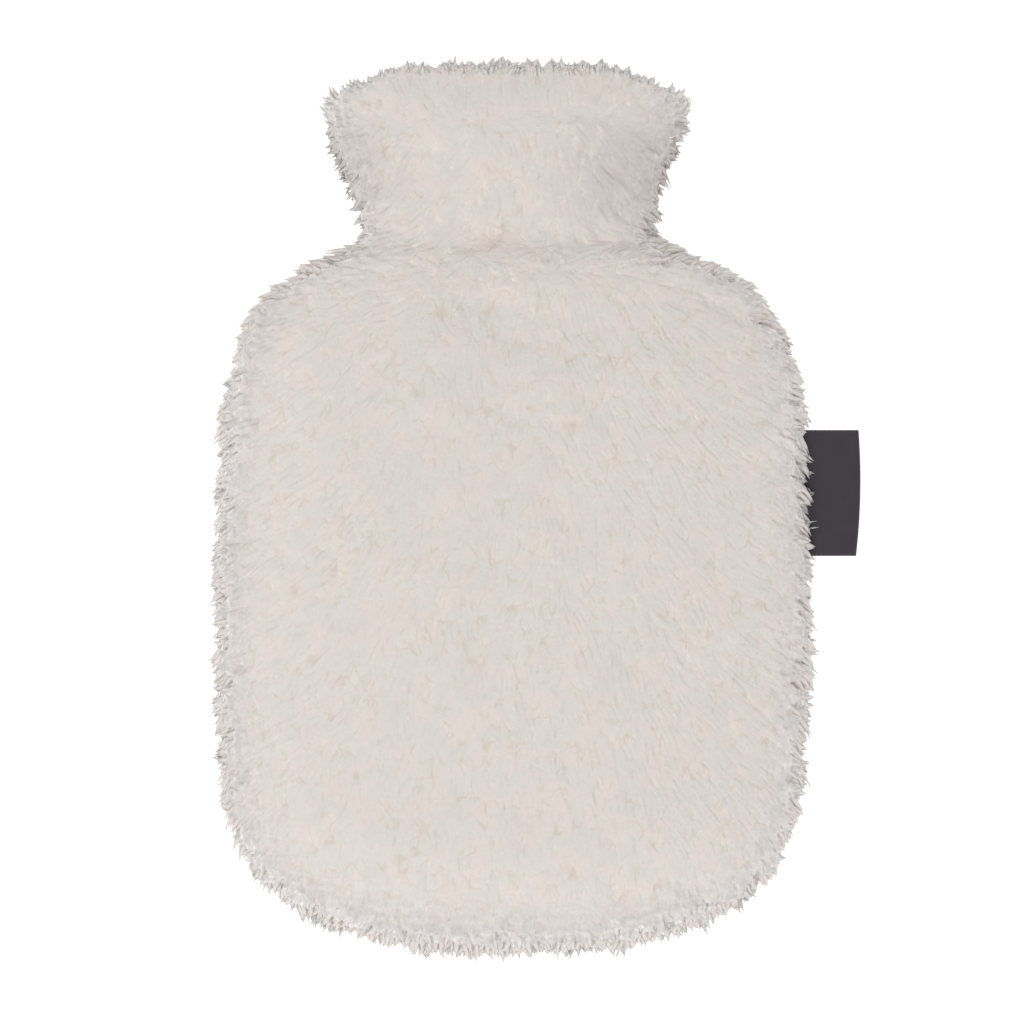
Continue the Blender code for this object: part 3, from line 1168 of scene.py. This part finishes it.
    def shape(self, graph: Graph, geometry: Field) -> Field:
        """Bend each upright cone along its own curve, and give it a belly.

        Args:
            graph: the tree.
            geometry: the cones, which stand unturned on their roots.

        Returns:
            The tufts, with the attributes that the finish reads.
        """
        root, middle, tip, spin = (graph.read(name) for name in ("root", "middle", "tip", "spin"))
        nap = self.nap
        local = graph.position() - root
        height = local.z
        rest = 1.0 - height
        path = root * (rest * rest) + middle * (rest * height * 2.0) + tip * (height * height)
        along = ((middle - root) * rest + (tip - middle) * height).unit()
        facing = graph.read("face") + spin * nap.twist + (0.0, 0.0, nap.levelling)
        across = along.cross(facing).unit()
        over = across.cross(along)
        belly = (height * nap.belly + 1.0) * (nap.width * MM)
        moved = path + across * (local.x * belly) + over * (local.y * belly * nap.flatness)
        moved = graph.vector(moved.x, moved.y, moved.z.at_least(self.floor * MM))
        geometry = graph.store(geometry, "height", height * 0.5 + 0.5)
        geometry = graph.store(geometry, "strand", along)
        sockets = {"Geometry": geometry, "Position": moved}
        return graph.out("GeometryNodeSetPosition", "Geometry", sockets=sockets)

    def grow(self, *cloths: bpy.types.Object) -> bpy.types.Object:
        """Grow the pile on copies of these panels of cloth.

        Args:
            cloths: one panel, or both for the pile along their seam.

        Returns:
            The pile.
        """
        pile = copy_of(cloths[0], self.name)
        for other in cloths[1:]:
            extra = copy_of(other, self.name + "_more")
            only(pile, extra)
            bpy.ops.object.join()
        add_modifier(pile, "NODES", node_group=self.plant())
        return pile


# ---------------------------------------------------------------- label


@dataclass
class SideLabel:
    """A woven tape, folded at its outer edge and caught in the right-hand seam."""

    low_y: float = 13.2
    high_y: float = 51.0
    root_x: float = 81.5
    fold_x: float = 104.0
    bow: float = 1.3
    bow_middle: float = 36.0
    layer_gap: float = 0.55
    cloth: float = 0.42
    height: float = 18.75
    droop: float = 0.5
    tape_steps: int = 36
    width_steps: int = 24
    crowding: float = 1.6
    rounding: float = 0.1

    def along(self, share: float, y: float) -> Vector:
        """Give a point of the tape's middle layer.

        Args:
            share: -1 at the lower root, 0 at the fold and 1 at the upper root.
            y: the place across the tape, in millimetres.

        Returns:
            The point, in metres.
        """
        reach = (y - self.bow_middle) / (self.bow_middle - self.low_y)
        fold_x = self.fold_x - self.cloth / 2 - self.bow * reach * reach
        turn = math.pi / 2 * self.layer_gap
        run = fold_x - self.layer_gap - self.root_x
        gone = abs(share) * (run + turn)
        if gone < turn:
            angle = gone / self.layer_gap
            x = fold_x - self.layer_gap * (1.0 - math.cos(angle))
            lift = self.layer_gap * math.sin(angle)
        else:
            x = fold_x - self.layer_gap - (gone - turn)
            lift = self.layer_gap
        droop = self.droop * ((x - self.root_x) / run) ** 2
        z = self.height - droop + math.copysign(lift, share)
        return Vector((x, y, z)) * MM

    def build(self) -> bpy.types.Object:
        """Make the tape from a grid, folded and thickened.

        Returns:
            The label.
        """
        bpy.ops.object.select_all(action="DESELECT")
        steps = {"x_subdivisions": self.tape_steps, "y_subdivisions": self.width_steps}
        bpy.ops.mesh.primitive_grid_add(size=2.0, **steps)
        label = bpy.context.object
        label.name = "woven_side_label"
        run = self.fold_x - self.root_x
        flat = label.data.uv_layers.active.data
        for loop in label.data.loops:
            place = label.data.vertices[loop.vertex_index].co
            flat[loop.index].uv = (place.x * run * MM, place.y * (self.high_y - self.low_y) / 2 * MM)
        for point in label.data.vertices:
            y = self.low_y + (point.co.y + 1.0) / 2 * (self.high_y - self.low_y)
            share = math.copysign(abs(point.co.x) ** self.crowding, point.co.x)
            point.co = self.along(share, y)
        add_modifier(label, "SOLIDIFY", thickness=self.cloth * MM, offset=0.0)
        add_modifier(label, "BEVEL", width=self.rounding * MM, segments=2, limit_method="ANGLE")
        label.data.shade_smooth()
        return label


# ---------------------------------------------------------------- studio


@dataclass
class Studio:
    """A white table, a large soft light above it and the camera straight over the cover."""

    middle: Pair = (-0.6, 26.4)
    shown: float = 307.2
    camera_height: float = 1600.0
    outline_height: float = 19.0
    sensor: float = 36.0
    sky: float = 0.51
    lamp_power: float = 7.5
    lamp_size: float = 1100.0
    lamp_at: Triple = (-260.0, -420.0, 1500.0)
    floor_size: float = 6000.0
    floor_steps: int = 8

    def build(self) -> None:
        """Make the floor, the lights and the camera."""
        self.add_floor()
        self.add_sky()
        self.add_lamp()
        self.add_camera()

    def add_floor(self) -> None:
        """Lay the table, far wider than the picture."""
        bpy.ops.object.select_all(action="DESELECT")
        steps = {"x_subdivisions": self.floor_steps, "y_subdivisions": self.floor_steps}
        bpy.ops.mesh.primitive_grid_add(size=self.floor_size * MM, **steps)
        floor = bpy.context.object
        floor.name = "studio_floor"
        floor.data.materials.append(FloorFinish().make("white_paper"))

    def add_sky(self) -> None:
        """Light the scene evenly from all round."""
        world = bpy.data.worlds.new("soft_white_room")
        world.use_nodes = True
        graph = Graph(world.node_tree)
        light = {"Color": (1.0, 1.0, 1.0), "Strength": self.sky}
        glow = graph.out("ShaderNodeBackground", "Background", sockets=light)
        graph.node("ShaderNodeOutputWorld", sockets={"Surface": glow})
        bpy.context.scene.world = world

    def add_lamp(self) -> None:
        """Hang the soft light, towards the bottom left of the picture."""
        lamp = bpy.data.lights.new("soft_light", "AREA")
        lamp.shape = "DISK"
        lamp.size = self.lamp_size * MM
        lamp.energy = self.lamp_power
        holder = bpy.data.objects.new("soft_light", lamp)
        bpy.context.scene.collection.objects.link(holder)
        holder.location = Vector(self.lamp_at) * MM
        aim = Vector((self.middle[0] * MM, self.middle[1] * MM, 0.0)) - holder.location
        holder.rotation_euler = aim.to_track_quat("-Z", "Y").to_euler()

    def add_camera(self) -> None:
        """Place the camera straight above the cover, as in the photograph."""
        lens = bpy.data.cameras.new("camera")
        lens.sensor_fit = "HORIZONTAL"
        lens.sensor_width = self.sensor
        lens.lens = self.sensor * (self.camera_height - self.outline_height) / self.shown
        camera = bpy.data.objects.new("camera", lens)
        bpy.context.scene.collection.objects.link(camera)
        camera.location = Vector((*self.middle, self.camera_height)) * MM
        bpy.context.scene.camera = camera
        bpy.context.scene.view_settings.view_transform = "Standard"


# ---------------------------------------------------------------- the cover


@dataclass
class Cover:
    """The whole cover: two panels of cloth, their pile and the label."""

    seam: float
    hem_from: float = 151.0
    stretches: Steps = (-110.0, -44.0, 14.0, 72.0, 151.0)
    stretch_names: tuple[str, ...] = ("bottom", "belly", "chest", "neck")
    creases: tuple[Crease, ...] = (
        Crease((-20.0, 103.0), (10.0, 118.0), 5.0, 1.2),
        Crease((-22.0, 90.0), (26.0, 81.0), 6.0, 0.7),
        Crease((-7.0, 79.0), (20.0, 76.0), 5.0, 0.7),
        Crease((-11.0, 61.0), (4.0, 54.0), 5.0, 0.6),
        Crease((53.0, 92.0), (76.0, 80.0), 4.0, 1.4),
        Crease((-34.0, 133.0), (-24.0, 136.0), 3.0, 1.2),
        Crease((20.0, 134.0), (44.0, 122.0), 6.0, 1.2),
        Crease((24.0, 120.0), (42.0, 112.0), 6.0, 1.2),
        Crease((22.0, 110.0), (40.0, 104.0), 5.0, 1.0),
        Crease((14.0, 146.0), (40.0, 140.0), 3.0, 1.0),
    )

    def front_piles(self) -> list[Pile]:
        """Give the stretches of pile on the front, from the bottom to the neck.

        Returns:
            The stretches, not yet grown.
        """
        bounds = zip(self.stretch_names, self.stretches, self.stretches[1:])
        return [
            Pile(f"front_pile_{name}", Region.FRONT, Nap(), self.seam, low, high, seed=3 + number)
            for number, (name, low, high) in enumerate(bounds)
        ]

    def rim_piles(self) -> tuple[Pile, Pile, Pile, Pile]:
        """Give the pile over the side seam, along the two hems and on the back.

        Returns:
            The four stretches, not yet grown.
        """
        fine = Clumps(size=3.3)
        seam_comb = Comb(drift=0.6, downward=0.35)
        seam_locks = {"width": 1.3, "belly": 0.2, "rise": 0.8, "depth": 1.2, "gather": 1.0}
        seam_nap = Nap(fine, seam_comb, spacing=1.3, length=4.0, **seam_locks)
        hem_comb = Comb(outward=0.35, upward=0.7)
        hem_nap = Nap(fine, hem_comb, spacing=0.95, length=2.2, width=1.0, rise=0.9, gather=0.8)
        back_comb = Comb(downward=2.4, outward=2.0, upward=0.3)
        back_nap = Nap(Clumps(size=6.0), back_comb, spacing=2.3, length=6.0, rise=0.35)
        only_steep = {"rim_from": 190.0, "rim_to": 200.0}
        low = self.hem_from
        return (
            Pile("seam_pile", Region.SEAM, seam_nap, self.seam, high=low, seed=11),
            Pile("hem_pile_front", Region.HEM, hem_nap, self.seam, low=low, seed=12),
            Pile("hem_pile_back", Region.HEM, hem_nap, self.seam, low=low, seed=13, **only_steep),
            Pile("back_pile", Region.BACK, back_nap, self.seam, high=148.0, seed=14),
        )

    def dress_cloths(self, *cloths: bpy.types.Object) -> None:
        """Give the panels their pile's finish outside and their knitted one inside.

        Args:
            cloths: the panels.
        """
        knit = KnitFinish().make("knitted_back")
        plush = PlushFinish(clumps=Clumps(), scatter=1.0).make("cream_plush")
        for cloth in cloths:
            sides = [side.value for side in cloth.data.attributes["side"].data]
            dress(cloth, "teddy_plush", knit, plush)
            cloth.data.polygons.foreach_set("material_index", [min(1, side) for side in sides])

    def build(self, nodes: dict) -> None:
        """Make and dress every piece.

        Args:
            nodes: the CAD nodes by name.
        """
        coarse = Clumps(size=6.0)
        front = Panel("front_cloth", "front_panel", self.seam, 2, Clumps(), self.creases).build(nodes)
        back = Panel("back_cloth", "back_panel", self.seam, 1, coarse).build(nodes)
        front_piles = [pile.grow(front) for pile in self.front_piles()]
        grounds = ((front, back), (front,), (back,), (back,))
        rims = [pile.grow(*ground) for pile, ground in zip(self.rim_piles(), grounds)]
        tufts = PlushFinish((0.94, 0.90, 0.86), fibre_depth=0.3).make("cream_tufts")
        # Painted light and shade on the locks: their roots are lighter than their tips, and the tips are
        # greyer.
        shade_greyed_tips = {"rosy_tip": (0.915, 0.885, 0.87), "cool_tip": (0.905, 0.89, 0.865)}
        locks = PlushFinish((0.96, 0.94, 0.92), fibre_depth=0.2, **shade_greyed_tips).make("cream_locks")
        for pile in front_piles:
            dress(pile, "teddy_plush", tufts)
        for pile in rims:
            dress(pile, "teddy_plush", locks)
        self.dress_cloths(front, back)
        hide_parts("front_panel")
        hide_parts("back_panel")
        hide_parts("side_pile")
        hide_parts("mouth_pile_front")
        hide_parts("mouth_pile_back")
        self.declare()
        self.declare()
        label = SideLabel().build()
        dress(label, "woven_tape", TapeFinish().make("woven_tape"))
        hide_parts("side_label")

    def declare(self) -> None:
        """Work out a panel's flat size in metres, which is not kept.
        """
        tuple(side * MM for side in Panel.flat)


def main() -> None:
    """Load the frame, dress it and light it."""
    logging.basicConfig(level=logging.INFO, format="%(message)s")
    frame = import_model()
    bpy.ops.object.select_all(action="DESELECT")
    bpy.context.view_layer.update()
    seam = (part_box("front_panel")[0].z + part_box("back_panel")[1].z) / 2 / MM
    Studio().build()
    Cover(seam).build(frame["nodes"])


if __name__ == "__main__":
    main()
